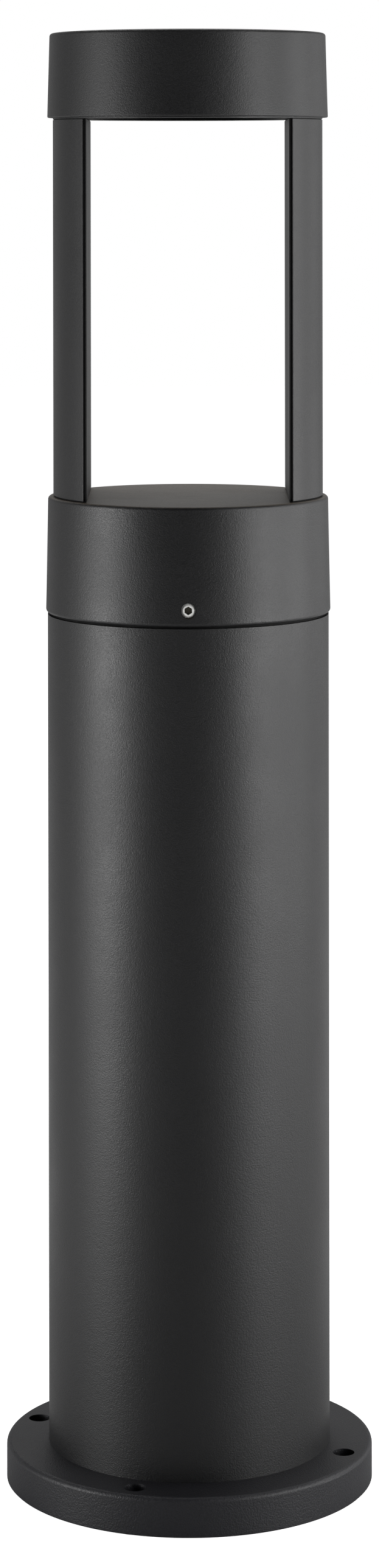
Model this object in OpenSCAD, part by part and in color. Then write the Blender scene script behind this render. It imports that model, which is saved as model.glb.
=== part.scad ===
// Garden post light: a round post on a bolted base flange. Two arc-shaped uprights stand on the
// post's collar and carry a drum-shaped head, whose light faces down onto the flat collar top.
// Units are millimetres, +Z is up, and the origin is the centre of the base. The open window
// between the uprights looks along Y, and one set screw of the collar faces -Y, the front.

/* [Base flange] */
// How far the flange stands out past the tube
flange_overhang = 17.5; // [17:0.5:40]
// Height of the flange
flange_t = 16; // [14:0.5:24]
// Thickness of the flange's plate over its hollow underside
flange_plate_t = 6; // [5:0.5:8]
// Width of the flange's outer rim
flange_rim_w = 4; // [3:0.5:5]
// Radius of the flange's top edge
flange_edge_r = 2; // [0.5:0.25:2.5]
// Distance from the flange's edge to an anchor hole's centre
anchor_inset = 9; // [8:0.25:9.5]
// Diameter of an anchor hole
anchor_hole_d = 9; // [6:0.5:10]
// Number of anchor holes
anchor_count = 4; // [3:1:4]
// Direction of the first anchor hole, in degrees
anchor_turn = -19; // [-24:1:-12]
// Thickness of a rib under the flange
flange_rib_t = 3; // [2:0.5:4]
// Chamfer of the flange's lower edge
flange_chamfer = 0.6; // [0.2:0.1:1.5]

/* [Post tube] */
// Outside diameter of the tube
tube_d = 117; // [114:0.5:140]
// Wall of the tube
tube_wall = 2.5; // [2:0.25:3.5]
// Length of the tube
tube_l = 343; // [280:1:600]
// Distance from the tube's inner wall to a screw channel's centre
channel_inset = 10; // [9:0.25:11]
// Radius of the wall round a screw channel
channel_r = 4; // [3.5:0.25:4.5]

/* [Neck] */
// Wall of the neck that the collar slips over
neck_wall = 2.5; // [2:0.25:3.5]
// Height of the neck above the tube
neck_h = 25; // [18:0.5:30]
// Length of the rings that centre flange and neck inside the tube
spigot_h = 6; // [4:0.5:10]
// Thickness of the neck's floor
neck_floor_t = 5; // [4:0.5:7]
// Radial gap between the neck and the collar
neck_gap = 0.4; // [0.2:0.05:0.8]
// Thickness of the seal between tube and collar
seal_t = 0.9; // [0.6:0.1:2]
// Distance that the seal lies back from the tube's surface
seal_inset = 1.2; // [0.8:0.1:1.5]

/* [Collar] */
// Height of the collar
collar_h = 48; // [40:0.5:80]
// How far the collar's lower edge stands out past the tube
collar_flare = 0.7; // [0.3:0.1:2]
// Draft of the collar's side, in degrees
collar_draft = 1.1; // [0:0.1:1.5]
// Wall of the collar at its lower edge
collar_wall = 5.6; // [5:0.1:6]
// Thickness of the collar's flat top
collar_top_t = 6; // [4:0.5:8]
// Radius of the collar's top edge
collar_top_r = 1.3; // [0.5:0.1:1.5]
// Radius of the collar's lower edge
collar_foot_r = 1.3; // [0.5:0.1:1.5]
// Height of the set screws above the collar's lower edge
set_screw_z = 6.5; // [5:0.5:12]

/* [Uprights] */
// Length of an upright
upright_l = 155.5; // [100:0.5:240]
// How far the uprights lie back from the tube's surface
upright_inset = 2.4; // [2:0.1:3.5]
// Depth of an upright, from its outer arc to its flat inner face
upright_depth = 14.8; // [14:0.2:17]
// Wall of an upright's outer shell
shell_t = 3; // [2.5:0.1:3.5]
// Width of the narrow end face of an upright
end_face_t = 1.6; // [1.4:0.1:2]
// Width of the groove between cover strip and shell in that end face
groove_w = 0.7; // [0.4:0.1:0.8]
// Depth of that groove
groove_depth = 1.4; // [0.8:0.1:2]
// Width of the lip that the cover strip closes on
lip_w = 5; // [4:0.5:7]
// Thickness of the flat cover strip
cover_t = 0.5; // [0.4:0.1:0.6]
// Radius of an upright's long outer corners
corner_r = 0.4; // [0.2:0.1:0.6]
// Distance between the two screws in one end of an upright
upright_screw_gap = 28; // [24:1:34]
// Thickness of the gasket under an upright
foot_gasket_t = 0.6; // [0.4:0.1:1.5]
// Thickness of the gasket on top of an upright
top_gasket_t = 0.4; // [0.3:0.1:1.5]
// Distance that the gaskets lie back from the upright's faces
gasket_inset = 0.3; // [0.1:0.1:0.5]

/* [Head] */
// Height of the head's cap
cap_h = 35; // [34:0.5:60]
// Distance from the tube's surface back to the cap's lower edge
cap_inset = 0.1; // [0:0.1:0.2]
// Draft of the cap's side, in degrees
cap_draft = 1.6; // [0:0.1:2]
// Thickness of the cap's top
cap_top_t = 4; // [3:0.5:6]
// Radius of the cap's top edge
cap_top_r = 1.3; // [0.5:0.1:2]
// Radius of the cap's lower edge
cap_foot_r = 0.5; // [0.3:0.1:0.8]
// Height of the head plate's edge that shows under the cap
plate_step = 0.6; // [0.4:0.1:2]
// Thickness of the head plate
plate_t = 5; // [4.5:0.25:8]
// Radial gap between head plate and cap
plate_gap = 0.2; // [0.1:0.05:0.3]
// Thickness of the seal between head plate and cap
cap_seal_t = 1; // [0.8:0.1:1.5]
// Thickness of a rib inside the cap
cap_rib_t = 2.5; // [1.5:0.25:3]

/* [Light source] */
// Width of the head plate round the light opening
plate_rim_w = 16.6; // [16.2:0.1:21]
// Thickness of the lip that carries the lens
lens_lip_t = 1.6; // [1.2:0.1:2]
// Thickness of the lens gasket
lens_gasket_t = 0.8; // [0.6:0.1:1]
// Thickness of the lens
lens_t = 2.5; // [2:0.1:3]
// Width of the lens seat round the opening
lens_seat_w = 3.3; // [2.8:0.1:3.4]
// Height of the reflector
reflector_h = 10.8; // [10:0.2:12]
// Thickness of the circuit board
board_t = 1.6; // [1:0.1:2]
// Thickness of the heat spreader
spreader_t = 4; // [3.6:0.1:5]
// Diameter of the thermal pad
pad_d = 50; // [30:1:56]
// Number of light-emitting chips on the outer circle
chip_count = 12; // [6:1:16]

/* [Wiring] */
// Diameter of a low-voltage lead
lead_d = 2.4; // [1.8:0.1:2.8]
// Distance between the two low-voltage leads
lead_gap = 3.2; // [3:0.1:4]
// Diameter of a mains lead
mains_lead_d = 2.6; // [2:0.1:3]
// Diameter of the supply cable that the gland takes
cable_d = 9; // [6:0.5:11]

/* [Driver] */
// Width of the driver
driver_w = 44; // [36:1:50]
// Depth of the driver
driver_depth = 30; // [22:1:30]
// Height of the driver
driver_h = 130; // [100:1:150]
// Width of the bracket
bracket_w = 56; // [52:1:60]
// Thickness of the bracket's sheet
bracket_t = 2; // [1.5:0.25:2.5]

/* [Hidden] */
$fn = 96;

// Finishes
coat = [0.2, 0.2, 0.21];
bare_metal = [0.72, 0.73, 0.74];
steel = [0.8, 0.8, 0.78];
black_rubber = [0.03, 0.03, 0.03];
black_plastic = [0.06, 0.06, 0.07];
white_plastic = [0.92, 0.92, 0.9];
opal = [0.95, 0.95, 0.93];

// A cut runs this far past the face that it opens
past = 1;
// Steps along a turned edge's arc
edge_steps = 6;
// Thread fits: a screw is this much smaller than its tapped hole in radius
thread_fit = 0.05;
// A clearance hole is this much larger than its screw in radius
hole_fit = 0.3;

// Radii that follow the tube
tube_r = tube_d / 2;
tube_inner_r = tube_r - tube_wall;
spigot_r = tube_inner_r - 0.3;
spigot_wall = 4;
flange_r = tube_r + flange_overhang;
anchor_r = flange_r - anchor_inset;
channel_at = tube_inner_r - channel_inset;
collar_foot_at = tube_r + collar_flare;
collar_inner_r = collar_foot_at - collar_wall;
neck_r = collar_inner_r - neck_gap;
neck_inner_r = neck_r - neck_wall;
arc_r = tube_r - upright_inset;
plate_r = arc_r;
cap_foot_at = tube_r - cap_inset;
cap_rebate_r = plate_r + plate_gap;

// Heights of the stack, from the ground up
flange_top = flange_t;
tube_top = flange_top + tube_l;
collar_z = tube_top + seal_t;
collar_top = collar_z + collar_h;
upright_z = collar_top + foot_gasket_t;
upright_top = upright_z + upright_l;
plate_z = upright_top + top_gasket_t;
plate_top = plate_z + plate_t;
cap_z = plate_z + plate_step;
cap_top = cap_z + cap_h;
cap_ledge_z = plate_top + cap_seal_t;
cap_ceiling_z = cap_top - cap_top_t;

// The three screw channels of the tube, and the three set screws between them
channel_turns = [90, 210, 330];
set_screw_turns = [270, 30, 150];

// Screw sizes: radius of shank, radius and height of head, width across the hexagon socket
m3 = [1.5, 2.75, 3, 2.5];
m4 = [2, 3.5, 4, 3];
m5 = [2.5, 4.25, 5, 4];
tube_thread_l = 16;
flange_screw_sink = 2;
cap_thread_l = 10;
set_screw_r = 3;
set_screw_socket = 3;
set_screw_recess = 0.4;
set_screw_chamfer = 0.9;
set_screw_socket_depth = 2.6;

// Section of an upright
face_x = arc_r - upright_depth;
lip_x = face_x + cover_t;
end_x = face_x + end_face_t;
end_y = sqrt(arc_r * arc_r - end_x * end_x);
pocket_r = arc_r - shell_t;
pocket_y = end_y - lip_w;
upright_port_x = pocket_r - 5.4;
upright_port_y = upright_screw_gap / 2;
upright_port_r = 3.3;
wire_x = pocket_r - 5.5;
wire_hole_r = lead_gap / 2 + lead_d / 2 + 1.2;
upright_thread_l = 14;

// The light source's stack
opening_r = plate_r - plate_rim_w;
lens_seat_r = opening_r + lens_seat_w;
lens_seat_z = plate_z + lens_lip_t;
lens_z = lens_seat_z + lens_gasket_t;
lens_top = lens_z + lens_t;
board_z = lens_top + reflector_h;
spreader_z = board_z + board_t;
pad_z = spreader_z + spreader_t;
pad_t = 1;
pad_top = pad_z + pad_t;
cap_boss_t = 4;
lens_r = lens_seat_r - 0.3;
reflector_wall = 1.4;
reflector_foot_r = lens_r - 0.2;
board_r = opening_r - 2.1;
spreader_r = opening_r + 1.5;
lug_at = (lens_seat_r + cap_rebate_r) / 2 - 2.4;
lug_r = 3.6;
lug_turns = [90, 210, 330];
cap_screw_at = lug_at + 0.9;
cap_pillar_r = 4.4;
cap_screw_turns = [60, 120, 240, 300];
cap_cavity_r = cap_rebate_r - 2.8;
seal_ring_in = cap_cavity_r + 0.2;
board_screw_inset = 6.4;
board_screw_at = board_r - board_screw_inset;
chip_ring_inset = 7;
chip_ring_r = board_screw_at - chip_ring_inset;
chip_size = [3.6, 3, 0.8];
board_screw_turns = [30, 150, 270];
board_screw_l = 4;
terminal_size = [6, 9, 4];

// Cable gland in the middle of the flange
gland_thread_r = 10;
gland_bore_r = 6.5;
gland_nut_t = 5;
gland_nut_af = 26;
gland_hex_af = 24;
gland_hex_t = 4;
gland_neck_h = 10;
gland_neck_r = 9.4;
gland_cap_h = 13;
flange_plate_z = flange_top - flange_plate_t;

// Bracket, driver and terminal block on it
bracket_y = 16;
bracket_gap = 4.5;
bracket_foot = sqrt(pow(spigot_r - spigot_wall - bracket_gap, 2) - pow(bracket_w / 2, 2)) - bracket_y;
bend_r = 3;
bracket_screw_x = bracket_w / 2 - 10;
bracket_screw_y = bracket_y + bracket_foot - 8;
block_size = [44, 16, 16];
block_lift = 30;
block_z = flange_top + block_lift;
block_top = block_z + block_size[2];
driver_lift = 18;
driver_z = block_top + driver_lift;
driver_top = driver_z + driver_h;
bracket_end = 32;
bracket_h = driver_top - flange_top + bracket_end;
driver_tab = [14, 2, 10];
mains_y = bracket_y - block_size[1] / 2;
lead_start_x = 12;
lead_bend_r = 6;
head_bend_r = 4;
lead_turn_lift = 24;
lead_turn_z = collar_z + lead_turn_lift;
lead_end_z = spreader_z + terminal_size[2] / 2;
terminal_x = board_r - 0.4;
lug_x = driver_w / 2;
earth_bend_r = 4;
earth_lug_z = block_top + 8;
earth_lug_t = 1;

// Turned and cast shapes

// Points on an arc round a centre, from one angle to another
function arc_points(centre, r, from, to) =
    [for (i = [0:edge_steps]) let (a = from + (to - from) * i / edge_steps)
        [centre[0] + r * cos(a), centre[1] + r * sin(a)]];

// A solid of revolution with drafted sides and rounded top and foot edges
module drafted_drum(foot_at, h, draft, foot_r, top_r) {
    foot_x = foot_at - foot_r * tan(draft) - foot_r / cos(draft);
    top_x = foot_at - (h - top_r) * tan(draft) - top_r / cos(draft);
    rotate_extrude()
        polygon(concat([[0, 0]],
                       arc_points([foot_x, foot_r], foot_r, -90, draft),
                       arc_points([top_x, h - top_r], top_r, draft, 90),
                       [[0, h]]));
}

// A flat ring
module ring(outer_r, inner_r, h) {
    difference() {
        cylinder(r = outer_r, h = h);
        translate([0, 0, -past]) cylinder(r = inner_r, h = h + 2 * past);
    }
}

// Puts copies at the given directions and distance from the axis
module around(turns, distance) {
    for (turn = turns)
        rotate([0, 0, turn]) translate([distance, 0, 0]) children();
}

// The anchor holes' directions
function anchor_turns() = [for (i = [0:anchor_count - 1]) anchor_turn + i * 360 / anchor_count];

// Fasteners

// A screw with a hexagon socket head: the head stands up from z = 0 and the shank hangs down
module socket_screw(size, l) {
    difference() {
        union() {
            cylinder(r = size[1], h = size[2]);
            translate([0, 0, -l]) cylinder(r = size[0] - thread_fit, h = l + size[2] / 2);
        }
        translate([0, 0, size[2] / 2])
            cylinder(r = size[3] / sqrt(3), h = size[2], $fn = 6);
    }
}

// A low round-headed screw with a straight slot
module slotted_screw(size, l) {
    head_h = size[2] * 0.6;
    difference() {
        union() {
            cylinder(r = size[1], h = head_h);
            translate([0, 0, -l]) cylinder(r = size[0] - thread_fit, h = l + head_h / 2);
        }
        translate([-size[1] - past, -0.5, head_h / 2]) cube([2 * (size[1] + past), 1, head_h]);
    }
}

// A countersunk screw: its head is flush with z = 0 and its shank points up
module countersunk_screw(size, l) {
    difference() {
        union() {
            cylinder(r1 = size[0] * 2, r2 = size[0] - thread_fit, h = size[0] + thread_fit);
            cylinder(r = size[0] - thread_fit, h = l);
        }
        translate([0, 0, -past])
            cylinder(r = size[3] / sqrt(3), h = past + size[0] * 0.7, $fn = 6);
    }
}

// A hexagonal nut or collar with its flats the given distance apart
module hexagon(af, h) {
    cylinder(r = af / sqrt(3), h = h, $fn = 6);
}

// A sheathed wire: a round bar between two heights
module upright_wire(d, from_z, to_z) {
    translate([0, 0, from_z]) cylinder(r = d / 2, h = to_z - from_z);
}

// A quarter bend of wire. It starts at the origin going up and ends going towards +X
module wire_bend(d, bend_r) {
    translate([bend_r, 0, 0]) rotate([90, 0, 0]) rotate([0, 0, 90])
        rotate_extrude(angle = 90) translate([bend_r, 0]) circle(r = d / 2, $fn = 32);
}

// Base flange

// The cast flange: a plate over a hollow underside with a rim, bosses and ribs
module base_flange() {
    color(coat)
    difference() {
        union() {
            rotate_extrude() flange_section();
            around(anchor_turns(), anchor_r) cylinder(r = anchor_inset - 0.5, h = flange_plate_z + past);
            around(channel_turns, channel_at) cylinder(r = m5[1] + 3, h = flange_plate_z + past);
            flange_ribs();
            translate([0, 0, flange_top - past]) spigot(spigot_h + past);
        }
        around(anchor_turns(), anchor_r)
            translate([0, 0, -past]) cylinder(r = anchor_hole_d / 2, h = flange_t + 2 * past);
        around(channel_turns, channel_at) {
            translate([0, 0, -past]) cylinder(r = m5[0] + hole_fit, h = flange_t + 2 * past);
            translate([0, 0, -past])
                cylinder(r = m5[1] + hole_fit, h = flange_plate_z - flange_screw_sink + past);
        }
        translate([0, 0, -past]) cylinder(r = gland_thread_r + hole_fit, h = flange_t + 2 * past);
        translate([0, 0, -past]) hexagon(gland_nut_af + 4, flange_plate_z + past);
        for (side = [-1, 1])
            translate([side * bracket_screw_x, bracket_screw_y, flange_plate_z - past])
                cylinder(r = m4[0], h = flange_plate_t + 2 * past);
    }
}

// Half section of the flange, with a rounded top edge
module flange_section() {
    difference() {
        union() {
            translate([0, flange_plate_z]) square([flange_r, flange_plate_t]);
            translate([flange_r - flange_rim_w, 0]) square([flange_rim_w, flange_t]);
            translate([gland_nut_af / sqrt(3) + 2, 0]) square([flange_rim_w, flange_plate_z + past]);
        }
        translate([flange_r - flange_edge_r, flange_top - flange_edge_r])
            difference() {
                square(flange_edge_r + past);
                circle(r = flange_edge_r);
            }
        polygon([[flange_r - flange_chamfer, 0], [flange_r, flange_chamfer],
                 [flange_r + past, flange_chamfer], [flange_r + past, -past],
                 [flange_r - flange_chamfer, -past]]);
    }
}

// Radial ribs under the plate, between the middle ring and the rim
module flange_ribs() {
    rib_from = gland_nut_af / sqrt(3) + 3;
    rib_l = flange_r - flange_rim_w / 2 - rib_from;
    for (turn = [30:60:330])
        rotate([0, 0, turn]) translate([rib_from, -flange_rib_t / 2, 1])
            cube([rib_l, flange_rib_t, flange_plate_z - 1 + past]);
}

// A ring that fits inside the tube and is notched for the screw channels
module spigot(h) {
    difference() {
        ring(spigot_r, spigot_r - spigot_wall, h);
        around(channel_turns, channel_at) {
            translate([0, -channel_r - 1, -past])
                cube([channel_inset + 2, 2 * channel_r + 2, h + 2 * past]);
            translate([0, 0, -past]) cylinder(r = channel_r + 1, h = h + 2 * past);
        }
    }
}

// Three screws that hold the tube on the flange, from below
module flange_screws() {
    color(steel)
    around(channel_turns, channel_at)
        translate([0, 0, flange_plate_z - flange_screw_sink]) rotate([180, 0, 0])
            socket_screw(m5, flange_plate_t + flange_screw_sink + tube_thread_l);
}

// Post

// The extruded tube, with three screw channels along its inner wall
module post_tube() {
    color(coat)
    translate([0, 0, flange_top])
        linear_extrude(height = tube_l)
            difference() {
                union() {
                    difference() {
                        circle(r = tube_r);
                        circle(r = tube_inner_r);
                    }
                    around(channel_turns, channel_at) {
                        circle(r = channel_r);
                        translate([0, -1.5]) square([channel_inset + tube_wall / 2, 3]);
                    }
                }
                around(channel_turns, channel_at) {
                    circle(r = m5[0]);
                    translate([-channel_r - past, -0.75]) square([channel_r + past, 1.5]);
                }
            }
}

// The neck: a floor ring on the tube's channels, a wall that the collar slips over and a
// ring below that centres it in the tube
module neck_ring() {
    color(coat)
    difference() {
        union() {
            translate([0, 0, tube_top]) ring(neck_r, neck_opening_r(), neck_floor_t);
            translate([0, 0, tube_top]) ring(neck_r, neck_inner_r, neck_h);
            translate([0, 0, tube_top - spigot_h]) spigot(spigot_h);
        }
        around(channel_turns, channel_at)
            translate([0, 0, tube_top - past]) cylinder(r = m5[0] + hole_fit, h = neck_floor_t + 2 * past);
    }
}

// The neck's opening keeps a seat for the screw heads
function neck_opening_r() = channel_at - m5[1] - 1.6;

// Three screws that hold the neck on the tube
module neck_screws() {
    color(steel)
    around(channel_turns, channel_at)
        translate([0, 0, tube_top + neck_floor_t]) socket_screw(m5, neck_floor_t + tube_thread_l);
}

// The black seal that shows as a dark line between tube and collar
module collar_seal() {
    color(black_rubber)
    translate([0, 0, tube_top]) ring(tube_r - seal_inset, neck_r + neck_gap / 2 + 0.3, seal_t);
}

// Collar

// The cast collar: a cup with a flat top, open below
module collar() {
    color(coat)
    difference() {
        translate([0, 0, collar_z])
            drafted_drum(collar_foot_at, collar_h, collar_draft, collar_foot_r, collar_top_r);
        translate([0, 0, collar_z - past])
            cylinder(r = collar_inner_r, h = collar_h - collar_top_t + past);
        for (turn = set_screw_turns)
            rotate([0, 0, turn]) translate([0, 0, collar_z + set_screw_z]) rotate([0, 90, 0]) {
                cylinder(r = set_screw_r, h = collar_foot_at + past);
                translate([0, 0, collar_foot_at - 0.6]) cylinder(r = set_screw_r + 0.3, h = 2);
            }
        upright_screw_holes(collar_top - collar_top_t - past, collar_top_t + 2 * past);
        translate([-wire_x, 0, collar_top - collar_top_t - past])
            cylinder(r = wire_hole_r, h = collar_top_t + 2 * past);
    }
}

// Three set screws that clamp the collar on the neck. The one at the front shows in full
module set_screws() {
    screw_tip = neck_r + thread_fit;
    screw_face = collar_foot_at - set_screw_z * tan(collar_draft) - set_screw_recess;
    color(steel)
    for (turn = set_screw_turns)
        rotate([0, 0, turn]) translate([0, 0, collar_z + set_screw_z]) rotate([0, 90, 0])
            difference() {
                union() {
                    translate([0, 0, screw_tip])
                        cylinder(r1 = set_screw_r - 1, r2 = set_screw_r - thread_fit, h = 1);
                    translate([0, 0, screw_tip + 1])
                        cylinder(r = set_screw_r - thread_fit,
                                 h = screw_face - screw_tip - 1 - set_screw_chamfer);
                    translate([0, 0, screw_face - set_screw_chamfer])
                        cylinder(r1 = set_screw_r - thread_fit,
                                 r2 = set_screw_r - thread_fit - set_screw_chamfer,
                                 h = set_screw_chamfer);
                }
                translate([0, 0, screw_face - set_screw_socket_depth])
                    cylinder(r = set_screw_socket / sqrt(3), h = set_screw_socket_depth + past, $fn = 6);
            }
}

// Uprights. Each shape is drawn at +X and mirrored for the left side

// Outline of a whole upright with rounded outer corners, drawn in by an inset
module upright_outline(from_x, inset) {
    round_y = end_y - inset - corner_r;
    round_x = sqrt(pow(arc_r - inset - corner_r, 2) - round_y * round_y);
    turn = atan2(round_y, round_x);
    reach = 3;
    for (side = [1, -1])
        mirror([0, side < 0 ? 1 : 0]) {
            difference() {
                intersection() {
                    circle(r = arc_r - inset);
                    translate([from_x, -past / 10]) square([upright_depth, end_y - inset + past / 10]);
                }
                translate([round_x, round_y])
                    polygon([[0, 0], [reach * cos(turn), reach * sin(turn)], [reach, reach], [0, reach]]);
            }
            translate([round_x, round_y])
                intersection() {
                    circle(r = corner_r, $fn = 32);
                    translate([from_x - round_x, -corner_r]) square([upright_depth, 2 * corner_r]);
                }
        }
}

// The extruded outer shell: an arc with two lips and two screw ports
module upright() {
    translate([0, 0, upright_z])
        linear_extrude(height = upright_l)
            difference() {
                union() {
                    difference() {
                        upright_outline(lip_x, 0);
                        intersection() {
                            circle(r = pocket_r);
                            translate([lip_x - past, -pocket_y]) square([upright_depth, 2 * pocket_y]);
                        }
                        for (side = [1, -1])
                            mirror([0, side < 0 ? 1 : 0])
                                translate([lip_x - past, end_y - groove_depth])
                                    square([groove_w + past, groove_depth + past]);
                    }
                    for (side = [-1, 1])
                        translate([upright_port_x, side * upright_port_y]) {
                            circle(r = upright_port_r);
                            translate([0, -1.5]) square([shell_t + 2, 3]);
                        }
                }
                for (side = [-1, 1])
                    translate([upright_port_x, side * upright_port_y]) circle(r = m4[0]);
            }
}

// The flat cover strip that closes the shell towards the window
module cover_strip() {
    strip_y = end_y - 0.2;
    translate([face_x, -strip_y, upright_z]) cube([cover_t, 2 * strip_y, upright_l]);
}

// A flat gasket with the upright's outline, holes for its screws and, on request, for the leads
module upright_gasket(z, t, wired) {
    translate([0, 0, z])
        linear_extrude(height = t)
            difference() {
                upright_outline(face_x + gasket_inset, gasket_inset);
                for (side = [-1, 1])
                    translate([upright_port_x, side * upright_port_y]) circle(r = m4[0] + hole_fit);
                if (wired)
                    translate([wire_x, 0]) circle(r = wire_hole_r);
            }
}

module foot_gasket_left() {
    color(black_rubber) mirror([1, 0, 0]) upright_gasket(collar_top, foot_gasket_t, true);
}

module foot_gasket_right() {
    color(black_rubber) upright_gasket(collar_top, foot_gasket_t, false);
}

module upright_left() {
    color(coat) mirror([1, 0, 0]) upright();
}

module upright_right() {
    color(coat) upright();
}

module cover_strip_left() {
    color(coat) mirror([1, 0, 0]) cover_strip();
}

module cover_strip_right() {
    color(coat) cover_strip();
}

module top_gasket_left() {
    color(black_rubber) mirror([1, 0, 0]) upright_gasket(upright_top, top_gasket_t, true);
}

module top_gasket_right() {
    color(black_rubber) upright_gasket(upright_top, top_gasket_t, false);
}

// The four places of the upright screws, as holes
module upright_screw_holes(z, h) {
    for (side_x = [-1, 1])
        for (side_y = [-1, 1])
            translate([side_x * upright_port_x, side_y * upright_port_y, z])
                cylinder(r = m4[0] + hole_fit, h = h);
}

// Four screws through the collar's top into the uprights, from below
module foot_screws() {
    color(steel)
    for (side_x = [-1, 1])
        for (side_y = [-1, 1])
            translate([side_x * upright_port_x, side_y * upright_port_y, collar_top - collar_top_t])
                rotate([180, 0, 0])
                    socket_screw(m4, collar_top_t + foot_gasket_t + upright_thread_l);
}

// Four screws through the head plate into the uprights, from above
module top_screws() {
    color(steel)
    for (side_x = [-1, 1])
        for (side_y = [-1, 1])
            translate([side_x * upright_port_x, side_y * upright_port_y, plate_top - m4[2] / 2])
                socket_screw(m4, plate_t - m4[2] / 2 + top_gasket_t + upright_thread_l);
}

// Head

// The head plate closes the cap from below. Its edge shows as a thin step under the cap
module head_plate() {
    color(coat)
    difference() {
        translate([0, 0, plate_z]) cylinder(r = plate_r, h = plate_t);
        translate([0, 0, plate_z - past]) cylinder(r = opening_r, h = plate_t + 2 * past);
        translate([0, 0, lens_seat_z]) cylinder(r = lens_seat_r, h = plate_t + past);
        upright_screw_holes(plate_z - past, plate_t + 2 * past);
        for (side_x = [-1, 1])
            for (side_y = [-1, 1])
                translate([side_x * upright_port_x, side_y * upright_port_y, plate_top - m4[2] / 2])
                    cylinder(r = m4[1] + hole_fit, h = m4[2]);
        translate([-wire_x, 0, plate_z - past]) cylinder(r = wire_hole_r, h = plate_t + 2 * past);
        around(cap_screw_turns, cap_screw_at) {
            translate([0, 0, plate_z - past]) cylinder(r = m4[0] + 0.2, h = plate_t + 2 * past);
            translate([0, 0, plate_z])
                cylinder(r1 = m4[0] * 2 + 0.1, r2 = m4[0] + 0.1, h = m4[0]);
        }
        around(lug_turns, lug_at)
            translate([0, 0, plate_top - 3.5]) cylinder(r = m3[0], h = 3.5 + past);
    }
}

// The seal between head plate and cap
module cap_seal() {
    color(black_rubber)
    translate([0, 0, plate_top]) ring(plate_r - 0.2, seal_ring_in, cap_seal_t);
}

// The cast cap: a drum with a rebate for the plate, a ledge for the seal, four screw
// pillars, and a round pad on ribs that draws the heat from the light source
module head_cap() {
    color(coat)
    difference() {
        union() {
            difference() {
                translate([0, 0, cap_z])
                    drafted_drum(cap_foot_at, cap_h, cap_draft, cap_foot_r, cap_top_r);
                translate([0, 0, cap_z - past])
                    cylinder(r = cap_rebate_r, h = cap_ledge_z - cap_z + past);
                translate([0, 0, cap_z - past])
                    cylinder(r = cap_cavity_r, h = cap_ceiling_z - cap_z + past);
            }
            around(cap_screw_turns, cap_screw_at) {
                translate([0, 0, plate_top])
                    cylinder(r = cap_pillar_r, h = cap_ceiling_z - plate_top + past);
                translate([0, -cap_rib_t / 2, cap_ledge_z])
                    cube([cap_cavity_r - cap_screw_at + past, cap_rib_t, cap_ceiling_z - cap_ledge_z]);
            }
            translate([0, 0, pad_top]) cylinder(r = pad_d / 2, h = cap_boss_t);
            for (turn = [22.5:45:337.5])
                rotate([0, 0, turn]) translate([0, -cap_rib_t / 2, pad_top])
                    cube([cap_cavity_r + past, cap_rib_t, cap_ceiling_z - pad_top + past]);
        }
        around(cap_screw_turns, cap_screw_at)
            translate([0, 0, plate_top - past]) cylinder(r = m4[0], h = cap_thread_l + 2 + past);
        translate([0, 0, cap_z - past])
            difference() {
                cylinder(r = cap_rebate_r, h = cap_ledge_z - cap_z + past);
                translate([0, 0, -past]) cylinder(r = cap_cavity_r, h = plate_t + cap_h);
            }
    }
}

// Four countersunk screws that hold the cap, from below
module cap_screws() {
    color(steel)
    around(cap_screw_turns, cap_screw_at)
        translate([0, 0, plate_z]) countersunk_screw(m4, plate_t + cap_thread_l);
}

// The black gasket that lines the light opening and carries the lens
module lens_gasket() {
    color(black_rubber)
    difference() {
        union() {
            translate([0, 0, plate_z]) cylinder(r = opening_r - 0.1, h = lens_lip_t);
            translate([0, 0, lens_seat_z]) cylinder(r = lens_seat_r - 0.1, h = lens_gasket_t);
        }
        translate([0, 0, plate_z - past])
            cylinder(r = opening_r - 1, h = lens_lip_t + lens_gasket_t + 2 * past);
    }
}

// The frosted lens
module lens() {
    color(opal)
    translate([0, 0, lens_z]) cylinder(r = lens_r, h = lens_t);
}

// The white reflector ring between lens and board, with three lugs for its screws
module reflector() {
    reflector_top_r = board_r + 0.1;
    slant = [reflector_foot_r - reflector_top_r, reflector_h];
    color(white_plastic)
    difference() {
        union() {
            translate([0, 0, lens_top])
                rotate_extrude()
                    polygon([[reflector_foot_r - reflector_wall, 0], [reflector_foot_r, 0],
                             [reflector_foot_r - slant[0], slant[1]],
                             [reflector_foot_r - slant[0] - reflector_wall, slant[1]]]);
            around(lug_turns, lug_at) {
                translate([0, 0, plate_top]) cylinder(r = lug_r, h = spreader_z - plate_top);
                translate([reflector_foot_r - lug_at - 1, -1.5, plate_top + 1])
                    cube([lug_at - reflector_foot_r + 1, 3, reflector_h / 2]);
            }
        }
        around(lug_turns, lug_at)
            translate([0, 0, plate_top - past])
                cylinder(r = m3[0] + 0.2, h = spreader_z - plate_top + 2 * past);
    }
}

// The round circuit board
module led_board() {
    color(white_plastic)
    difference() {
        translate([0, 0, board_z]) cylinder(r = board_r, h = board_t);
        around(board_screw_turns, board_screw_at)
            translate([0, 0, board_z - past]) cylinder(r = m3[0] + 0.2, h = board_t + 2 * past);
    }
}

// The light-emitting chips: an outer circle and an inner one
module led_chips() {
    color([0.95, 0.85, 0.35])
    for (circle_of = [[chip_count, chip_ring_r], [4, chip_ring_r / 2.4]])
        for (i = [0:circle_of[0] - 1])
            rotate([0, 0, (i + 0.5) * 360 / circle_of[0]])
                translate([circle_of[1] - chip_size[0] / 2, -chip_size[1] / 2, board_z - chip_size[2]])
                    cube(chip_size);
}

// The terminal on the board that takes the two low-voltage leads
module board_terminal() {
    color(white_plastic)
    translate([-terminal_x, -terminal_size[1] / 2, spreader_z]) cube(terminal_size);
}

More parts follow.
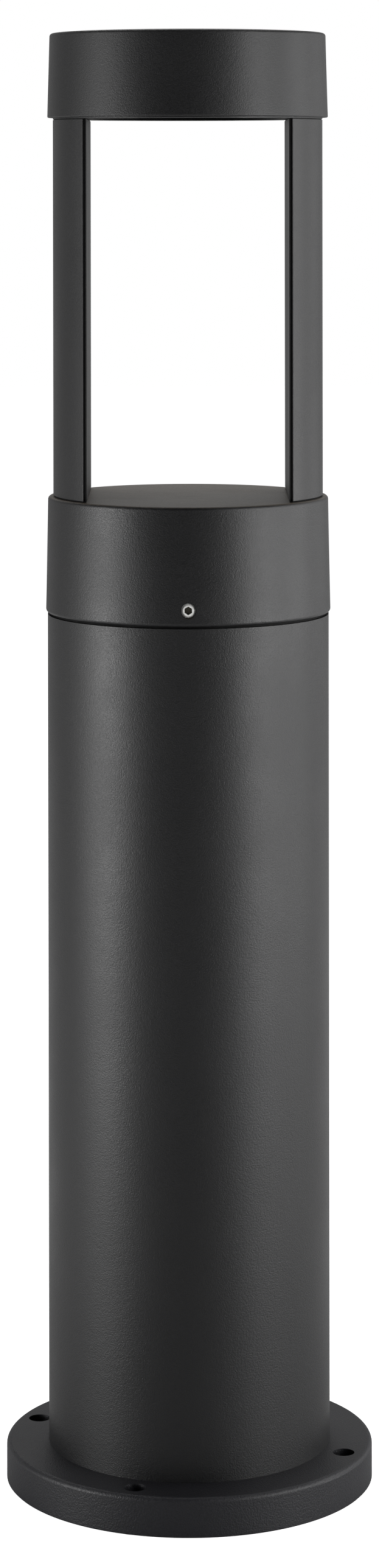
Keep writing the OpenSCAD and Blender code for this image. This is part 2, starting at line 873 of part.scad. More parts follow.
// The heat spreader: a disc with three ears and a notch for the terminal
module heat_spreader() {
    ear_r = lug_r + 0.4;
    color(bare_metal)
    difference() {
        union() {
            translate([0, 0, spreader_z]) cylinder(r = spreader_r, h = spreader_t);
            around(lug_turns, lug_at) {
                translate([0, 0, spreader_z]) cylinder(r = ear_r, h = spreader_t);
                translate([-ear_r - 6, -ear_r, spreader_z]) cube([ear_r + 6, 2 * ear_r, spreader_t]);
            }
        }
        around(lug_turns, lug_at)
            translate([0, 0, spreader_z - past]) cylinder(r = m3[0] + 0.2, h = spreader_t + 2 * past);
        around(board_screw_turns, board_screw_at)
            translate([0, 0, spreader_z - past])
                cylinder(r = m3[0], h = board_screw_l - board_t + 0.5 + past);
        translate([-spreader_r - past, -terminal_size[1] / 2 - 1, spreader_z - past])
            cube([spreader_r - terminal_x + terminal_size[0] + 1.5 + past, terminal_size[1] + 2,
                  spreader_t + 2 * past]);
    }
}

// Three screws that clamp spreader, reflector and lens on the head plate
module spreader_screws() {
    color(steel)
    around(lug_turns, lug_at)
        translate([0, 0, pad_z]) socket_screw(m3, pad_z - plate_top + 3);
}

// Three screws that hold the board on the spreader, from below
module board_screws() {
    color(steel)
    around(board_screw_turns, board_screw_at)
        translate([0, 0, board_z]) rotate([180, 0, 0]) slotted_screw(m3, board_screw_l);
}

// The soft pad between spreader and cap
module thermal_pad() {
    color([0.55, 0.6, 0.7])
    translate([0, 0, pad_z]) cylinder(r = pad_d / 2, h = pad_t);
}

// Inside the post

// The folded sheet bracket that stands on the flange
module bracket() {
    color(bare_metal)
    difference() {
        translate([-bracket_w / 2, 0, flange_top]) rotate([90, 0, 90])
            linear_extrude(height = bracket_w) bracket_section();
        for (side = [-1, 1])
            translate([side * bracket_screw_x, bracket_screw_y, flange_top - past])
                cylinder(r = m4[0] + hole_fit, h = bracket_t + 2 * past);
        for (z = driver_screw_heights())
            bracket_hole(0, z);
        bracket_hole(lug_x, earth_lug_z);
    }
}

// The folded section, with a rounded outer bend
module bracket_section() {
    difference() {
        union() {
            translate([bracket_y, 0]) square([bracket_foot, bracket_t]);
            translate([bracket_y, 0]) square([bracket_t, bracket_h]);
        }
        translate([bracket_y, 0])
            difference() {
                translate([-past, -past]) square(bend_r + past);
                translate([bend_r, bend_r]) circle(r = bend_r);
                translate([bend_r, bend_r - bend_r]) square(bend_r);
            }
    }
}

// A tapped hole through the bracket's upright plate
module bracket_hole(x, z) {
    translate([x, bracket_y - past, z]) rotate([-90, 0, 0]) cylinder(r = m4[0], h = bracket_t + 2 * past);
}

// Heights of the driver's two screws
function driver_screw_heights() = [driver_z - driver_tab[2] / 2, driver_top + driver_tab[2] / 2];

// Two screws that hold the bracket on the flange
module bracket_screws() {
    color(steel)
    for (side = [-1, 1])
        translate([side * bracket_screw_x, bracket_screw_y, flange_top + bracket_t])
            slotted_screw(m4, bracket_t + flange_plate_t);
}

// The potted driver with a fixing tab at each end
module driver() {
    chamfer = 2;
    color([0.85, 0.85, 0.83])
    difference() {
        union() {
            translate([0, 0, driver_z])
                linear_extrude(height = driver_h)
                    polygon([[-driver_w / 2 + chamfer, bracket_y - driver_depth],
                             [driver_w / 2 - chamfer, bracket_y - driver_depth],
                             [driver_w / 2, bracket_y - driver_depth + chamfer],
                             [driver_w / 2, bracket_y], [-driver_w / 2, bracket_y],
                             [-driver_w / 2, bracket_y - driver_depth + chamfer]]);
            translate([-driver_tab[0] / 2, bracket_y - driver_tab[1], driver_z - driver_tab[2]])
                cube([driver_tab[0], driver_tab[1], driver_h + 2 * driver_tab[2]]);
        }
        for (z = driver_screw_heights())
            translate([0, bracket_y + past, z]) rotate([90, 0, 0])
                cylinder(r = m4[0] + hole_fit, h = driver_tab[1] + 2 * past);
    }
}

// Two screws that hold the driver on the bracket
module driver_screws() {
    color(steel)
    for (z = driver_screw_heights())
        translate([0, bracket_y - driver_tab[1], z]) rotate([90, 0, 0])
            slotted_screw(m4, driver_tab[1] + bracket_t);
}

// The mains terminal block, with clamp screw shafts in its front
module terminal_block() {
    color(white_plastic)
    difference() {
        translate([-block_size[0] / 2, bracket_y - block_size[1], block_z]) cube(block_size);
        for (place = block_screw_places())
            translate([place[0], bracket_y - block_size[1] - past, place[1]]) rotate([-90, 0, 0])
                cylinder(r = 2.2, h = 5 + past);
    }
}

// Places of the block's clamp screws, as x and z
function block_screw_places() =
    [for (x = [-14, 0, 14], row = [0.25, 0.75]) [x, block_z + block_size[2] * row]];

// The clamp screws of the terminal block
module terminal_screws() {
    color([0.8, 0.66, 0.35])
    for (place = block_screw_places())
        translate([place[0], bracket_y - block_size[1] + 5, place[1]]) rotate([90, 0, 0])
            difference() {
                cylinder(r = 2, h = 3);
                translate([-2 - past, -0.4, 2]) cube([4 + 2 * past, 0.8, 1 + past]);
            }
}

// Cable gland: its threaded end points down through the flange
module gland_body() {
    thread_l = flange_plate_t + gland_nut_t;
    color(black_plastic)
    difference() {
        union() {
            translate([0, 0, flange_top - thread_l]) cylinder(r = gland_thread_r, h = thread_l + past);
            translate([0, 0, flange_top]) hexagon(gland_hex_af, gland_hex_t);
            translate([0, 0, flange_top + gland_hex_t / 2])
                cylinder(r = gland_neck_r, h = gland_neck_h + gland_hex_t / 2);
        }
        translate([0, 0, flange_top - thread_l - past])
            cylinder(r = gland_bore_r, h = thread_l + gland_neck_h + gland_hex_t + 2 * past);
        translate([0, 0, flange_top + gland_hex_t + 2])
            cylinder(r = gland_neck_r - 1.4, h = gland_neck_h);
    }
}

module gland_lock_nut() {
    color(black_plastic)
    difference() {
        translate([0, 0, flange_plate_z - gland_nut_t]) hexagon(gland_nut_af, gland_nut_t);
        translate([0, 0, flange_plate_z - gland_nut_t - past])
            cylinder(r = gland_thread_r + thread_fit, h = gland_nut_t + 2 * past);
    }
}

// The rubber seal that grips the supply cable
module gland_seal() {
    color(black_rubber)
    translate([0, 0, flange_top + gland_hex_t + 2])
        ring(gland_neck_r - 1.4 - thread_fit, cable_d / 2 + 0.1, gland_neck_h - 2);
}

// The cap nut that squeezes the seal
module gland_cap_nut() {
    nut_z = flange_top + gland_hex_t + 0.5;
    color(black_plastic)
    difference() {
        union() {
            translate([0, 0, nut_z]) hexagon(gland_hex_af, gland_cap_h - 4);
            translate([0, 0, nut_z + gland_cap_h - 4])
                cylinder(r1 = gland_hex_af / 2, r2 = gland_hex_af / 2 - 3, h = 4);
        }
        translate([0, 0, nut_z - past])
            cylinder(r = gland_neck_r + thread_fit, h = gland_neck_h - 0.5 + past);
        translate([0, 0, nut_z]) cylinder(r = gland_bore_r, h = gland_cap_h + past);
    }
}

// The lug that earths the bracket, the flange and the tube
module earth_lug() {
    tongue_from = mains_lead_x(1);
    color([0.8, 0.66, 0.35])
    difference() {
        translate([0, bracket_y, earth_lug_z]) rotate([90, 0, 0])
            union() {
                translate([tongue_from - 2, -2, 0]) cube([lug_x - tongue_from + 2, 4, earth_lug_t]);
                translate([lug_x, 0, 0]) cylinder(r = 4, h = earth_lug_t);
            }
        translate([lug_x, bracket_y + past, earth_lug_z]) rotate([90, 0, 0])
            cylinder(r = m4[0] + hole_fit, h = earth_lug_t + 2 * past);
    }
}

module earth_screw() {
    color(steel)
    translate([lug_x, bracket_y - earth_lug_t, earth_lug_z]) rotate([90, 0, 0])
        slotted_screw(m4, earth_lug_t + bracket_t + 1);
}

// Places of the mains leads across the terminal block: -1 live, 0 neutral, 1 earth
function mains_lead_x(place) = place * 14;

module live_lead() {
    color([0.4, 0.2, 0.1])
    translate([mains_lead_x(-1), mains_y, 0]) upright_wire(mains_lead_d, block_top, driver_z);
}

module neutral_lead() {
    color([0.1, 0.3, 0.7])
    translate([mains_lead_x(0), mains_y, 0]) upright_wire(mains_lead_d, block_top, driver_z);
}

// The earth lead turns from the block to its lug
module earth_lead() {
    bend_z = earth_lug_z - earth_bend_r;
    run_y = bracket_y - earth_lug_t - mains_y - earth_bend_r;
    color([0.3, 0.6, 0.15])
    translate([mains_lead_x(1), mains_y, 0]) {
        upright_wire(mains_lead_d, block_top, bend_z);
        translate([0, 0, bend_z]) rotate([0, 0, 90]) wire_bend(mains_lead_d, earth_bend_r);
        translate([0, earth_bend_r, earth_lug_z]) rotate([-90, 0, 0])
            cylinder(r = mains_lead_d / 2, h = run_y);
    }
}

// A low-voltage lead: from the driver up through the neck, across the collar, up inside the
// left upright and over to the terminal on the board
module led_lead(y) {
    up_z = lead_turn_z - lead_bend_r;
    cross_x = lead_start_x + lead_bend_r;
    cross_l = wire_x - lead_bend_r - cross_x;
    head_z = lead_end_z - head_bend_r;
    end_l = wire_x - head_bend_r - terminal_x;
    translate([0, y, 0]) {
        translate([-lead_start_x, 0, 0]) upright_wire(lead_d, driver_top, up_z);
        translate([-lead_start_x, 0, up_z]) rotate([0, 0, 180]) wire_bend(lead_d, lead_bend_r);
        translate([-cross_x, 0, lead_turn_z]) rotate([0, -90, 0]) cylinder(r = lead_d / 2, h = cross_l);
        translate([-wire_x, 0, lead_turn_z + lead_bend_r]) rotate([180, 0, 0])
            wire_bend(lead_d, lead_bend_r);
        translate([-wire_x, 0, 0]) upright_wire(lead_d, lead_turn_z + lead_bend_r, head_z);
        translate([-wire_x, 0, head_z]) wire_bend(lead_d, head_bend_r);
        translate([-wire_x + head_bend_r, 0, lead_end_z]) rotate([0, 90, 0])
            cylinder(r = lead_d / 2, h = end_l);
    }
}

module led_lead_plus() {
    color([0.75, 0.1, 0.08]) led_lead(lead_gap / 2);
}

module led_lead_minus() {
    color([0.08, 0.08, 0.09]) led_lead(-lead_gap / 2);
}

base_flange();
flange_screws();
post_tube();
neck_ring();
neck_screws();
collar_seal();
collar();
set_screws();
foot_gasket_left();
foot_gasket_right();
upright_left();
upright_right();
cover_strip_left();
cover_strip_right();
top_gasket_left();
top_gasket_right();
foot_screws();
top_screws();
head_plate();
cap_seal();
head_cap();
cap_screws();
lens_gasket();
lens();
reflector();
led_board();
led_chips();
board_terminal();
heat_spreader();
spreader_screws();
board_screws();
thermal_pad();
bracket();
bracket_screws();
driver();
driver_screws();
terminal_block();
terminal_screws();
gland_body();
gland_lock_nut();
gland_seal();
gland_cap_nut();
earth_lug();
earth_screw();
live_lead();
neutral_lead();
earth_lead();
led_lead_plus();
led_lead_minus();
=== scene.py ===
import math

import bpy
from mathutils import Euler, Matrix, Vector

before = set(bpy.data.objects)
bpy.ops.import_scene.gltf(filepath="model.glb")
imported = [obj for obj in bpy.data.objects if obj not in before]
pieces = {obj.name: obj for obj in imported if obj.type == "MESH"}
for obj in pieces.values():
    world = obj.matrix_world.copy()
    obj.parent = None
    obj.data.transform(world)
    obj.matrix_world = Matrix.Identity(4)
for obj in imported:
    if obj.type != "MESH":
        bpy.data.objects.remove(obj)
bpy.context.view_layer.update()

# Sizes are in metres, and textures in grains, streaks or patches per metre
MM = 0.001

# How deep the fine lines of bare metal and the skin of plastic and rubber go
FINE_DEPTH = 0.02 * MM

# The set screws' outer ends, from the post's axis, and how far in from there the painted shade
# in the bottom of the socket begins and is full
SCREW_FACE = 58.68 * MM
SOCKET_SHADE_BEGINS = 0.7 * MM
SOCKET_SHADE_IS_FULL = 1.6 * MM

# Finishes: colours as they are seen, in 0 to 255
COAT = (24, 24, 25)
FLANGE_COAT = (30, 30, 34)
# Pale dusting colour for faces that look up, which also paints them lighter as painted top light
COAT_DUST_AND_TOP_LIGHT = (116, 105, 90)
STAINLESS = (196, 196, 192)
BRIGHT_PLATING = (255, 255, 252)
# Painted shade for the bottom of the set screws' sockets
SOCKET_PAINTED_SHADE = (92, 88, 76)
RUBBER = (9, 9, 9)
BLACK_PLASTIC = (24, 24, 26)
WHITE_PLASTIC = (226, 226, 221)
OPAL = (233, 233, 228)
PHOSPHOR = (230, 196, 84)
ALUMINIUM = (186, 188, 190)
ZINC = (178, 181, 184)
SOFT_PAD = (134, 146, 166)
BRASS = (196, 162, 88)
BROWN_SHEATH = (92, 52, 28)
BLUE_SHEATH = (30, 74, 160)
GREEN_YELLOW_SHEATH = (88, 142, 44)
RED_SHEATH = (168, 28, 22)
BLACK_SHEATH = (22, 22, 24)

# The camera: focal length and sensor in millimetres, the shift that takes in the whole post in
# shares of the frame's longer side, its place, its turns in radians, and where its view begins
LENS = 87.365
SENSOR_WIDTH = 36.0
LENS_SHIFT = (0.00117, -0.38)
CAMERA_AT = (0.0, -1.5839, 0.5429)
CAMERA_TILT_DOWN = 0.00455
CAMERA_ROLL = -0.00145
NEAREST_SEEN = 0.05

# The floor: half its side, how far it lies under the flange, its paint as the camera and as the
# pieces see it, its white for the camera, and its glow, which grows between two distances from
# the middle to each side
FLOOR_HALF = 8.0
FLOOR_BELOW = 0.1 * MM
FLOOR_SEEN = 0.75
FLOOR_WHITE = 0.95
FLOOR_TO_PIECES = 0.5
FLOOR_GLOW = 0.27
GLOW_BEGINS = 0.08
GLOW_IS_FULL = 0.35

# The wall behind: its brightness as the pieces see it, and the share of a direction towards the
# back at which it begins and is full
BACK_WALL = 0.34
WALL_BEGINS = -0.2
WALL_IS_FULL = 0.9

# The softboxes: azimuth from the front in degrees, distance, height, height aimed at, width,
# tall, watts
SOFTBOXES = {
    "left_low": (-68, 1.4, 0.15, 0.15, 0.6, 0.3, 6.8),
    "left_tall": (-72, 1.4, 0.60, 0.60, 0.6, 1.1, 4.3),
    "left_back": (-95, 1.4, 0.60, 0.60, 0.5, 1.1, 1.0),
    "right_low": (62, 1.4, 0.15, 0.15, 0.9, 0.3, 3.9),
    "right_low_side": (90, 1.4, 0.15, 0.15, 0.6, 0.3, 1.1),
    "right_front": (56, 1.4, 0.60, 0.60, 0.5, 1.1, 7.6),
    "right_side": (78, 1.4, 0.60, 0.60, 0.5, 1.1, 1.8),
    "right_back": (100, 1.4, 0.60, 0.60, 0.5, 1.1, 5.0),
    "far_back": (130, 1.4, 0.60, 0.60, 0.5, 1.1, 1.5),
    "overhead": (180, 0.5, 1.80, 0.40, 1.2, 1.2, 14.0),
}


def linear(colour):
    """A colour given as it is seen, as the linear values that the shader takes."""
    seen = [channel / 255 for channel in colour]
    shown = [v / 12.92 if v <= 0.04045 else ((v + 0.055) / 1.055) ** 2.4 for v in seen]
    return (*shown, 1.0)


def grey(level):
    """An even grey, given as a linear value."""
    return (level, level, level, 1.0)


def add(tree, kind, settings=None, **values):
    """A node in a tree, with its settings and with values or links for its inputs."""
    node = tree.nodes.new("ShaderNode" + kind)
    for name, value in (settings or {}).items():
        setattr(node, name, value)
    for name, value in values.items():
        key = int(name[1:]) if name[0] == "i" and name[1:].isdigit() else name.replace("_", " ")
        if isinstance(value, bpy.types.NodeSocket):
            tree.links.new(value, node.inputs[key])
        else:
            node.inputs[key].default_value = value
    return node


def maths(tree, operation, a, b=0.5, clamp=False):
    """An operation on two values, or on the first alone where it takes only one."""
    node = add(tree, "Math", {"operation": operation, "use_clamp": clamp}, i0=a, i1=b)
    return node.outputs[0]


def blend_colours(tree, share, a, b):
    """The first colour, with a share of the second over it."""
    node = add(tree, "Mix", {"data_type": "RGBA"}, i0=share, i6=a, i7=b)
    return node.outputs[2]


def spread(tree, value, low, high, to_low=0.0, to_high=1.0):
    """A value mapped from one range to another and held inside it."""
    node = add(tree, "MapRange", {"interpolation_type": "SMOOTHSTEP"},
               i0=value, i1=low, i2=high, i3=to_low, i4=to_high)
    return node.outputs[0]


def effect_group(name, inputs, outputs):
    """An empty node group with its values in and out, and the sockets to wire them from."""
    group = bpy.data.node_groups.new(name, "ShaderNodeTree")
    for label, value in inputs.items():
        socket = group.interface.new_socket(label, in_out="INPUT", socket_type="NodeSocketFloat")
        socket.default_value = value
    for label in outputs:
        group.interface.new_socket(label, in_out="OUTPUT", socket_type="NodeSocketFloat")
    given = group.nodes.new("NodeGroupInput").outputs
    result = group.nodes.new("NodeGroupOutput").inputs
    return group, given, result


def powder_grain_group():
    """The pebbled skin of a powder coat: its height, and its light and dark grains."""
    group, given, result = effect_group(
        "powder_grain", {"Grains per metre": 900.0}, ["Height", "Grain"])
    place = add(group, "TexCoord").outputs["Object"]
    pebbles = add(group, "TexNoise", Vector=place, Scale=given[0], Detail=2.0, Roughness=0.55)
    wide = add(group, "TexNoise", Vector=place, Scale=maths(group, "MULTIPLY", given[0], 0.37),
               Detail=1.0, Roughness=0.5)
    waves = maths(group, "MULTIPLY", wide.outputs[0], 0.3)
    mixed = maths(group, "ADD", pebbles.outputs[0], waves)
    group.links.new(mixed, result["Height"])
    group.links.new(spread(group, pebbles.outputs[0], 0.36, 0.64), result["Grain"])
    return group


def patches_group():
    """Large soft patches, where a surface is a little lighter or duller."""
    group, given, result = effect_group("patches", {"Patches per metre": 14.0}, ["Patch"])
    place = add(group, "TexCoord").outputs["Object"]
    cloud = add(group, "TexNoise", Vector=place, Scale=given[0], Detail=3.0, Roughness=0.6)
    group.links.new(spread(group, cloud.outputs[0], 0.3, 0.7), result["Patch"])
    return group


def dusting_and_top_light_group():
    """A mask of faces that look up, for a thin dusting whose pale colour also serves as painted
    light on those tops.
    """
    group, given, result = effect_group("dusting_and_top_light", {"Amount": 0.3}, ["Dust"])
    up = add(group, "SeparateXYZ", i0=add(group, "NewGeometry").outputs["Normal"]).outputs[2]
    place = add(group, "TexCoord").outputs["Object"]
    specks = add(group, "TexNoise", Vector=place, Scale=420.0, Detail=4.0, Roughness=0.7)
    flat = spread(group, up, 0.55, 0.98)
    broken = spread(group, specks.outputs[0], 0.25, 0.75, to_low=0.6)
    thin = maths(group, "MULTIPLY", flat, broken)
    mask = maths(group, "MULTIPLY", thin, given[0], clamp=True)
    group.links.new(mask, result["Dust"])
    return group


def fine_streaks_group():
    """Fine lines round or along a piece, as turning, drawing or brushing leaves them."""
    group, given, result = effect_group(
        "fine_streaks", {"Across": 900.0, "Along": 40.0}, ["Streak"])
    place = add(group, "SeparateXYZ", i0=add(group, "TexCoord").outputs["Object"]).outputs
    stretched = add(group, "CombineXYZ", i0=maths(group, "MULTIPLY", place[0], given[1]),
                    i1=maths(group, "MULTIPLY", place[1], given[1]),
                    i2=maths(group, "MULTIPLY", place[2], given[0])).outputs[0]
    lines = add(group, "TexNoise", Vector=stretched, Scale=1.0, Detail=3.0, Roughness=0.6)
    group.links.new(spread(group, lines.outputs[0], 0.3, 0.7), result["Streak"])
    return group


POWDER_GRAIN = powder_grain_group()
PATCHES = patches_group()
DUSTING_AND_TOP_LIGHT = dusting_and_top_light_group()
FINE_STREAKS = fine_streaks_group()


def use(tree, group, **values):
    """A node group placed in a material with its own values."""
    node = tree.nodes.new("ShaderNodeGroup")
    node.node_tree = group
    for name, value in values.items():
        node.inputs[name.replace("_", " ")].default_value = value
    return node.outputs


def surface(name, **plain):
    """A material with one Principled shader and the values that are the same all over."""
    material = bpy.data.materials.new(name)
    material.use_nodes = True
    tree = material.node_tree
    tree.nodes.clear()
    shader = tree.nodes.new("ShaderNodeBsdfPrincipled")
    output = tree.nodes.new("ShaderNodeOutputMaterial")
    tree.links.new(shader.outputs[0], output.inputs["Surface"])
    for label, value in plain.items():
        shader.inputs[label.replace("_", " ")].default_value = value
    return material, tree, shader


def bump(tree, shader, height, strength, depth):
    """A height of the skin, as the shader's normal."""
    node = add(tree, "Bump", Height=height, Strength=strength, Distance=depth)
    tree.links.new(node.outputs[0], shader.inputs["Normal"])


def toned(colour, share):
    """A linear colour made darker by a share under 1, or lighter by one over 1."""
    return (*(channel * share for channel in colour[:3]), 1.0)


def powder_coat(name, grains, depth, rough, dust_and_top_light=0.0, colour=COAT):
    """Anthracite powder coat: pebbled, satin, slightly patchy, with a thin dusting on faces that
    look up that also paints them lighter as painted top light.
    """
    material, tree, shader = surface(name, Specular_IOR_Level=0.5)
    grain = use(tree, POWDER_GRAIN, Grains_per_metre=grains)
    patch = use(tree, PATCHES, Patches_per_metre=18.0)["Patch"]
    dust_and_top_light_share = use(tree, DUSTING_AND_TOP_LIGHT, Amount=dust_and_top_light)["Dust"]
    base = linear(colour)
    dark, light, faded = (toned(base, share) for share in (0.8, 1.2, 1.15))
    coat = blend_colours(tree, grain["Grain"], dark, light)
    coat = blend_colours(tree, maths(tree, "MULTIPLY", patch, 0.2), coat, faded)
    # Faces that look up take the pale dusting colour, partly as real dusting and partly as
    # painted light on those tops
    coat = blend_colours(tree, dust_and_top_light_share, coat, linear(COAT_DUST_AND_TOP_LIGHT))
    tree.links.new(coat, shader.inputs["Base Color"])
    uneven = maths(tree, "ADD", grain["Grain"], patch)
    roughness = spread(tree, uneven, 0.0, 2.0, to_low=rough - 0.05, to_high=rough + 0.05)
    tree.links.new(roughness, shader.inputs["Roughness"])
    bump(tree, shader, grain["Height"], 1.0, depth)
    return material


def bare_metal(name, colour, rough, across, along):
    """Uncoated metal with fine lines from turning or rolling."""
    material, tree, shader = surface(name, Metallic=1.0)
    streak = use(tree, FINE_STREAKS, Across=across, Along=along)["Streak"]
    patch = use(tree, PATCHES, Patches_per_metre=160.0)["Patch"]
    base = linear(colour)
    dark, dull = toned(base, 0.82), toned(base, 0.9)
    metal = blend_colours(tree, streak, dark, base)
    metal = blend_colours(tree, maths(tree, "MULTIPLY", patch, 0.3), metal, dull)
    tree.links.new(metal, shader.inputs["Base Color"])
    roughness = spread(tree, streak, 0.0, 1.0, to_low=rough, to_high=rough + 0.14)
    tree.links.new(roughness, shader.inputs["Roughness"])
    bump(tree, shader, streak, 0.15, FINE_DEPTH)
    return material


def plated_screws(name):
    """Bright plating on the set screws, with painted shade in the bottom of their sockets."""
    material, tree, shader = surface(name, Metallic=0.1, Roughness=0.3)
    streak = use(tree, FINE_STREAKS, Across=1500.0, Along=500.0)["Streak"]
    place = add(tree, "SeparateXYZ", i0=add(tree, "TexCoord").outputs["Object"]).outputs
    level = add(tree, "CombineXYZ", i0=place[0], i1=place[1]).outputs[0]
    out = add(tree, "VectorMath", {"operation": "LENGTH"}, i0=level).outputs["Value"]
    # The bottom of each socket is painted darker, deeper in from the screw's end, as the shade
    # that falls in the recess
    clear_of_socket_shade = spread(tree, out, SCREW_FACE - SOCKET_SHADE_IS_FULL, SCREW_FACE - SOCKET_SHADE_BEGINS)
    base = linear(BRIGHT_PLATING)
    plating = blend_colours(tree, streak, toned(base, 0.9), base)
    plating = blend_colours(tree, clear_of_socket_shade, linear(SOCKET_PAINTED_SHADE), plating)
    tree.links.new(plating, shader.inputs["Base Color"])
    bump(tree, shader, streak, 0.1, FINE_DEPTH)
    return material


def moulded(name, colour, rough, grains=2600.0, **plain):
    """Moulded plastic or rubber with a fine skin and soft patches."""
    material, tree, shader = surface(name, **plain)
    grain = use(tree, POWDER_GRAIN, Grains_per_metre=grains)
    patch = use(tree, PATCHES, Patches_per_metre=60.0)["Patch"]
    base = linear(colour)
    dull, dark = toned(base, 0.88), toned(base, 0.8)
    skin = blend_colours(tree, patch, dull, base)
    pits = maths(tree, "MULTIPLY", grain["Grain"], 0.15)
    skin = blend_colours(tree, pits, skin, dark)
    tree.links.new(skin, shader.inputs["Base Color"])
    roughness = spread(tree, patch, 0.0, 1.0, to_low=rough, to_high=rough + 0.08)
    tree.links.new(roughness, shader.inputs["Roughness"])
    bump(tree, shader, grain["Height"], 0.3, FINE_DEPTH)
    return material


def finishes():
    """Every finish of the light, by the pieces that have it."""
    flange = powder_coat("coat_on_flange", grains=1500.0, depth=0.16 * MM, rough=0.48,
                         colour=FLANGE_COAT)
    profile = powder_coat("coat_on_profile", grains=1500.0, depth=0.05 * MM, rough=0.42)
    collar = powder_coat("coat_on_collar", grains=2000.0, depth=0.1 * MM, rough=0.4, dust_and_top_light=0.55)
    head = powder_coat("coat_on_head", grains=2000.0, depth=0.09 * MM, rough=0.42, dust_and_top_light=0.1)
    tube = powder_coat("coat_on_tube", grains=2000.0, depth=0.1 * MM, rough=0.41)
    stainless = bare_metal("stainless_steel", STAINLESS, rough=0.24, across=1500.0, along=500.0)
    brass = bare_metal("brass", BRASS, rough=0.28, across=1200.0, along=300.0)
    turned = bare_metal("turned_aluminium", ALUMINIUM, rough=0.32, across=1000.0, along=700.0)
    sheet = bare_metal("zinc_plated_sheet", ZINC, rough=0.36, across=60.0, along=300.0)
    rubber = moulded("seal_rubber", RUBBER, rough=0.7, grains=1800.0, Specular_IOR_Level=0.2)
    black = moulded("gland_plastic", BLACK_PLASTIC, rough=0.42)
    white = moulded("white_plastic", WHITE_PLASTIC, rough=0.38)
    lens = moulded("opal_lens", OPAL, rough=0.34, grains=1400.0, Subsurface_Weight=0.3)
    table = {
        flange: ["base_flange"],
        collar: ["collar"],
        head: ["head_cap", "head_plate", "neck_ring"],
        profile: ["upright_left", "upright_right", "cover_strip_left", "cover_strip_right"],
        tube: ["post_tube"],
        stainless: ["flange_screws", "neck_screws", "foot_screws", "top_screws", "cap_screws",
                    "spreader_screws", "board_screws", "bracket_screws", "driver_screws",
                    "earth_screw"],
        plated_screws("bright_plating"): ["set_screws"],
        rubber: ["collar_seal", "foot_gasket_left", "foot_gasket_right", "top_gasket_left",
                 "top_gasket_right", "cap_seal", "lens_gasket", "gland_seal"],
        black: ["gland_body", "gland_lock_nut", "gland_cap_nut"],
        white: ["reflector", "board_terminal", "terminal_block"],
        lens: ["lens"],
        moulded("board_mask", WHITE_PLASTIC, rough=0.3, grains=1200.0): ["led_board"],
        moulded("phosphor", PHOSPHOR, rough=0.35, grains=3000.0): ["led_chips"],
        turned: ["heat_spreader"],
        sheet: ["bracket"],
        moulded("silicone_pad", SOFT_PAD, rough=0.7, grains=1500.0): ["thermal_pad"],
        moulded("driver_case", WHITE_PLASTIC, rough=0.34, grains=1600.0): ["driver"],
        brass: ["terminal_screws", "earth_lug"],
        moulded("brown_sheath", BROWN_SHEATH, rough=0.36): ["live_lead"],
        moulded("blue_sheath", BLUE_SHEATH, rough=0.36): ["neutral_lead"],
        moulded("green_yellow_sheath", GREEN_YELLOW_SHEATH, rough=0.36): ["earth_lead"],
        moulded("red_sheath", RED_SHEATH, rough=0.36): ["led_lead_plus"],
        moulded("black_sheath", BLACK_SHEATH, rough=0.36): ["led_lead_minus"],
    }
    return {piece: material for material, names in table.items() for piece in names}


def dress():
    """Gives every piece its finish."""
    finish_of = finishes()
    for name, piece in pieces.items():
        for slot in piece.material_slots:
            slot.material = finish_of[name]


def floor():
    """A plain pale floor. The camera sees it white, with the light's own soft shadow on it.
    To the pieces it is duller, and brighter to both sides than in front of them."""
    mesh = bpy.data.meshes.new("floor")
    half = FLOOR_HALF
    corners = [(-half, -half, 0), (half, -half, 0), (half, half, 0), (-half, half, 0)]
    mesh.from_pydata(corners, [], [(0, 1, 2, 3)])
    plane = bpy.data.objects.new("floor", mesh)
    plane.location.z = -FLOOR_BELOW
    bpy.context.scene.collection.objects.link(plane)
    material = bpy.data.materials.new("floor_paint")
    material.use_nodes = True
    tree = material.node_tree
    tree.nodes.clear()
    seen = add(tree, "LightPath").outputs["Is Camera Ray"]
    paint = add(tree, "BsdfDiffuse", Color=grey(FLOOR_SEEN)).outputs[0]
    white = add(tree, "Emission", Color=grey(1.0), Strength=FLOOR_WHITE).outputs[0]
    bright = add(tree, "AddShader", i0=paint, i1=white).outputs[0]
    place = add(tree, "SeparateXYZ", i0=add(tree, "TexCoord").outputs["Object"]).outputs
    across = maths(tree, "ABSOLUTE", place[0])
    to_sides = spread(tree, across, GLOW_BEGINS, GLOW_IS_FULL, to_high=FLOOR_GLOW)
    glow = add(tree, "Emission", Color=grey(1.0), Strength=to_sides).outputs[0]
    dull = add(tree, "BsdfDiffuse", Color=grey(FLOOR_TO_PIECES)).outputs[0]
    lit = add(tree, "AddShader", i0=dull, i1=glow).outputs[0]
    mixed = add(tree, "MixShader", i0=seen, i1=lit, i2=bright).outputs[0]
    output = tree.nodes.new("ShaderNodeOutputMaterial")
    tree.links.new(mixed, output.inputs["Surface"])
    mesh.materials.append(material)


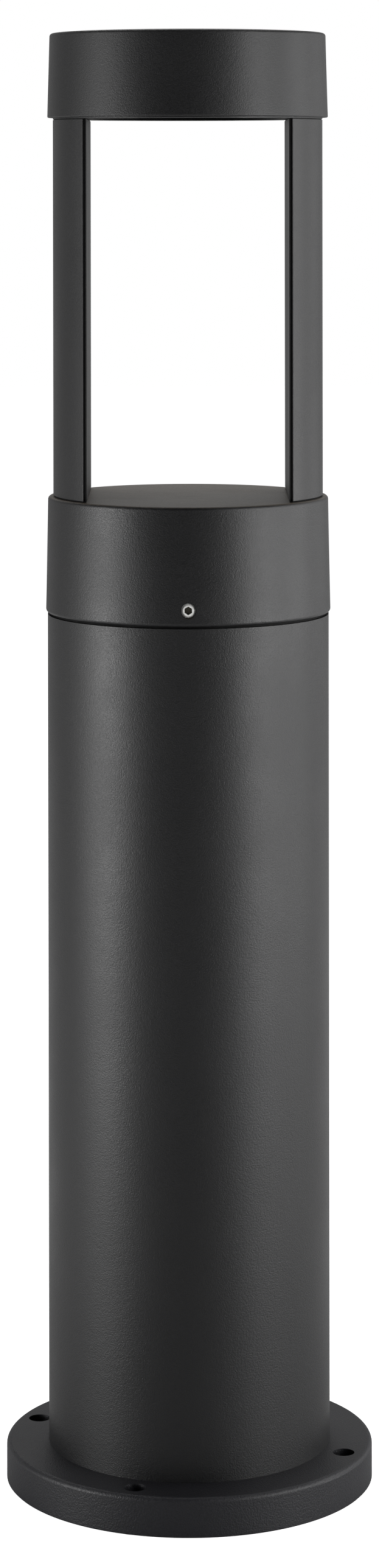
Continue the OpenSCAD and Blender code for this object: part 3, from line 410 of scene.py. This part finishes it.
def room():
    """White to the camera. The pieces see a pale wall behind them and a dark room in front."""
    world = bpy.data.worlds.new("room")
    bpy.context.scene.world = world
    world.use_nodes = True
    tree = world.node_tree
    tree.nodes.clear()
    direction = add(tree, "SeparateXYZ", i0=add(tree, "TexCoord").outputs["Generated"]).outputs
    level = spread(tree, direction[1], WALL_BEGINS, WALL_IS_FULL, to_high=BACK_WALL)
    inside = add(tree, "Background", Color=grey(1.0), Strength=level).outputs[0]
    white = add(tree, "Background", Color=grey(1.0), Strength=1.0).outputs[0]
    path = add(tree, "LightPath").outputs
    seen = maths(tree, "MAXIMUM", path["Is Camera Ray"], path["Is Transmission Ray"])
    mixed = add(tree, "MixShader", i0=seen, i1=inside, i2=white).outputs[0]
    output = tree.nodes.new("ShaderNodeOutputWorld")
    tree.links.new(mixed, output.inputs["Surface"])


def softbox(name, azimuth, distance, height, aim, width, tall, watts):
    """A soft lamp at an azimuth measured from the front, to the right, in degrees."""
    lamp = bpy.data.lights.new(name, "AREA")
    lamp.shape = "RECTANGLE"
    lamp.size = width
    lamp.size_y = tall
    lamp.energy = watts
    holder = bpy.data.objects.new(name, lamp)
    bpy.context.scene.collection.objects.link(holder)
    turn = math.radians(azimuth)
    place = Vector((distance * math.sin(turn), -distance * math.cos(turn), height))
    holder.location = place
    holder.rotation_euler = (Vector((0, 0, aim)) - place).to_track_quat("-Z", "Y").to_euler()


def camera():
    """A camera a metre and a half in front, almost level and almost as high as the head."""
    lens = bpy.data.cameras.new("camera")
    lens.lens = LENS
    lens.sensor_width = SENSOR_WIDTH
    lens.shift_x, lens.shift_y = LENS_SHIFT
    lens.clip_start = NEAREST_SEEN
    holder = bpy.data.objects.new("camera", lens)
    bpy.context.scene.collection.objects.link(holder)
    tilt = Euler((math.pi / 2 - CAMERA_TILT_DOWN, 0, 0)).to_matrix()
    holder.rotation_euler = (tilt @ Matrix.Rotation(CAMERA_ROLL, 3, "Z")).to_euler()
    holder.location = CAMERA_AT
    bpy.context.scene.camera = holder


dress()
floor()
room()
for softbox_name, placing in SOFTBOXES.items():
    softbox(softbox_name, *placing)
camera()
bpy.context.scene.view_settings.view_transform = "Standard"
